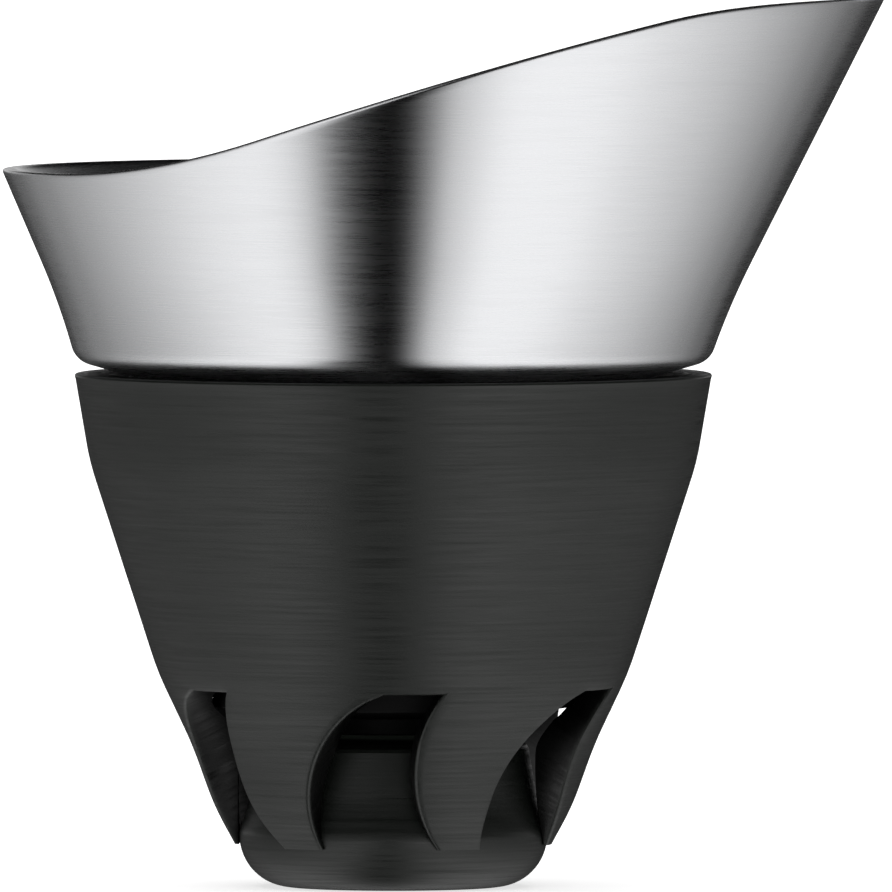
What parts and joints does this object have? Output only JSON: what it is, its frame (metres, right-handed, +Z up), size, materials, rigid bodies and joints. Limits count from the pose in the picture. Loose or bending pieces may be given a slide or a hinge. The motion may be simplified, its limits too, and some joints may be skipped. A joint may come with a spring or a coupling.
{
  "type": "decanting pourer",
  "caption": "Decanting pourer: a flared brushed-steel cup with a slanted pouring lip, seated in a tapered black body whose slotted foot fans wine over a decanter's wall.",
  "frame": {"origin": "centre of the foot's flat underside, on the body's axis, on the surface it stands on", "axes": "+Z up along the body's axis, +X towards the pouring lip, +Y to the left of the lip seen from behind it"},
  "size_m": [0.05, 0.0476, 0.0504],
  "materials": {
    "body_plastic": "charcoal lacquer on the outside, fine matt, faintly brushed round; black inside the slots",
    "inner_plastic": "black as moulded",
    "silicone": "soft matt",
    "brushed_cup": "brushed round, satin",
    "turned_steel": "turned, fine satin",
    "wire_cloth": "woven wire"
  },
  "bodies": {
    "body": {"body_shell": "body_plastic", "base_plug": "body_plastic", "flow_insert": "inner_plastic"},
    "seal": {"mouth_seal": "silicone"},
    "spout": {"spout_cup": "brushed_cup", "neck_tube": "turned_steel"},
    "strainer": {"strainer_rim": "turned_steel", "strainer_mesh": "wire_cloth"}
  },
  "joints": [
    {"name": "spout_turn", "type": "hinge", "parent": "body", "child": "seal", "pos_m": [0, 0, 0.026], "axis": [0, 0, 1], "continuous": true},
    {"name": "spout_lift", "type": "slide", "parent": "seal", "child": "spout", "axis": [0, 0, 1], "range_m": [0, 0.012]},
    {"name": "strainer_lift", "type": "slide", "parent": "spout", "child": "strainer", "axis": [0, 0, 1], "range_m": [0, 0.03]}
  ]
}
